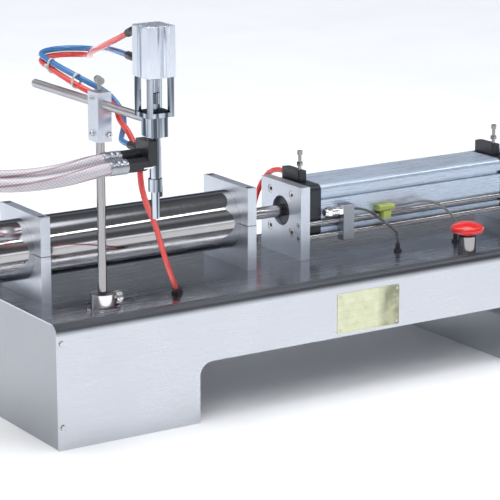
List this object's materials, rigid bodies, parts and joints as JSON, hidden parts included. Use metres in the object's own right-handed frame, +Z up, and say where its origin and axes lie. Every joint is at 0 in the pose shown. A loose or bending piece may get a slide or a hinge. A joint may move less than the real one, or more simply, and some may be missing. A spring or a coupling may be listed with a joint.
{
  "type": "piston liquid filler",
  "caption": "Semi-automatic piston filler: a horizontal metering cylinder driven by an air cylinder on a sheet-steel bench base, with hoses to a nozzle on an adjustable post.",
  "frame": {"origin": "middle of the left foot's sole, at floor level", "axes": "+X along both cylinders from the valve towards the air cylinder, +Y from the operator's side to the back, +Z up"},
  "size_m": [1.1615, 0.42, 0.587],
  "materials": {
    "sheet": "fine brushed stainless sheet",
    "screws": "bright zinc",
    "label_plate": "semi-gloss print",
    "satin_aluminium": "satin anodised",
    "polished_steel": "polished",
    "steel": "turned",
    "black_metal": "satin black",
    "dark_metal": "satin",
    "piston_metal": "turned",
    "seal_rubber": "matte",
    "black_plastic": "satin",
    "red_plastic": "gloss",
    "switch_plastic": "semi-gloss",
    "clear_hose": "braided, milky",
    "red_tube": "gloss, milky",
    "blue_tube": "gloss",
    "lead_jacket": "satin jacket"
  },
  "bodies": {
    "machine": {"base_shell": "sheet", "left_end_panel": "sheet", "right_end_panel": "sheet", "arch_liner": "sheet", "foot_soles": "sheet", "panel_screws": "screws", "clamp_screws": "screws", "mount_plate_screws": "screws", "nameplate": "label_plate", "left_clamp_lower": "satin_aluminium", "left_clamp_upper": "satin_aluminium", "right_clamp_lower": "satin_aluminium", "right_clamp_upper": "satin_aluminium", "front_mount_plate": "satin_aluminium", "rear_mount_plate": "satin_aluminium", "cylinder_barrel": "satin_aluminium", "rail_bracket": "satin_aluminium", "home_switch": "satin_aluminium", "metering_tube": "polished_steel", "switch_rails": "polished_steel", "stop_button_neck": "polished_steel", "tube_left_head": "steel", "rod_gland": "steel", "valve_body": "steel", "suction_spigot": "steel", "outlet_manifold": "steel", "post_flange": "steel", "front_end_cap": "black_metal", "rear_end_cap": "black_metal", "speed_controllers": "black_plastic", "deck_fittings": "black_plastic", "product_hose_front": "clear_hose", "product_hose_rear": "clear_hose", "red_air_tube": "red_tube", "supply_tube": "red_tube", "switch_lead": "lead_jacket", "home_lead": "lead_jacket"},
    "piston": {"piston_rod": "polished_steel", "metering_piston": "piston_metal", "air_piston": "piston_metal", "piston_seals": "seal_rubber"},
    "inlet_ball": {"inlet_ball": "steel"},
    "outlet_ball": {"outlet_ball": "steel"},
    "front_speed_screw": {"front_speed_screw": "screws"},
    "rear_speed_screw": {"rear_speed_screw": "screws"},
    "stop_button": {"stop_button_head": "red_plastic"},
    "nozzle_stand": {"post": "polished_steel", "bracket": "satin_aluminium", "arm": "polished_steel", "actuator_body": "satin_aluminium", "standoffs": "polished_steel", "nozzle_block": "satin_aluminium", "nozzle_body": "steel", "nozzle_tip": "steel", "head_fittings": "black_plastic", "blue_air_tube": "blue_tube"},
    "plug": {"plug_rod": "polished_steel"},
    "lock_knob": {"lock_knob": "dark_metal"},
    "wing_screw": {"wing_screw": "screws"},
    "stroke_switch": {"stroke_switch": "switch_plastic"}
  },
  "joints": [
    {"name": "piston_stroke", "type": "slide", "parent": "machine", "child": "piston", "axis": [1, 0, 0], "range_m": [0, 0.3]},
    {"name": "inlet_ball_lift", "type": "slide", "parent": "machine", "child": "inlet_ball", "axis": [0, 0, 1], "range_m": [0, 0.006]},
    {"name": "outlet_ball_lift", "type": "slide", "parent": "machine", "child": "outlet_ball", "axis": [0, 0, 1], "range_m": [0, 0.006]},
    {"name": "front_speed_screw_turn", "type": "hinge", "parent": "machine", "child": "front_speed_screw", "pos_m": [0.39, 0.016, 0.3], "axis": [0, 0, 1], "range_deg": [-180, 180]},
    {"name": "rear_speed_screw_turn", "type": "hinge", "parent": "machine", "child": "rear_speed_screw", "pos_m": [0.758, 0.016, 0.3], "axis": [0, 0, 1], "range_deg": [-180, 180]},
    {"name": "stop_button_press", "type": "slide", "parent": "machine", "child": "stop_button", "axis": [0, 0, 1], "range_m": [-0.0055, 0], "stiffness_N_per_m": 800, "springref_m": 0.004},
    {"name": "head_height", "type": "slide", "parent": "machine", "child": "nozzle_stand", "axis": [0, 0, 1], "range_m": [-0.08, 0.02], "deforming": ["product_hose_front", "product_hose_rear", "red_air_tube"]},
    {"name": "plug_lift", "type": "slide", "parent": "nozzle_stand", "child": "plug", "axis": [0, 0, 1], "range_m": [0, 0.008]},
    {"name": "lock_knob_turn", "type": "hinge", "parent": "machine", "child": "lock_knob", "pos_m": [0.01, -0.101, 0.188], "axis": [1, 0, 0], "range_deg": [-180, 180]},
    {"name": "wing_screw_turn", "type": "hinge", "parent": "nozzle_stand", "child": "wing_screw", "pos_m": [-0.014, -0.101, 0.48], "axis": [0, 0, 1], "range_deg": [-180, 180]},
    {"name": "stroke_switch_slide", "type": "slide", "parent": "machine", "child": "stroke_switch", "axis": [1, 0, 0], "range_m": [-0.008, 0.15], "deforming": ["switch_lead"]}
  ]
}
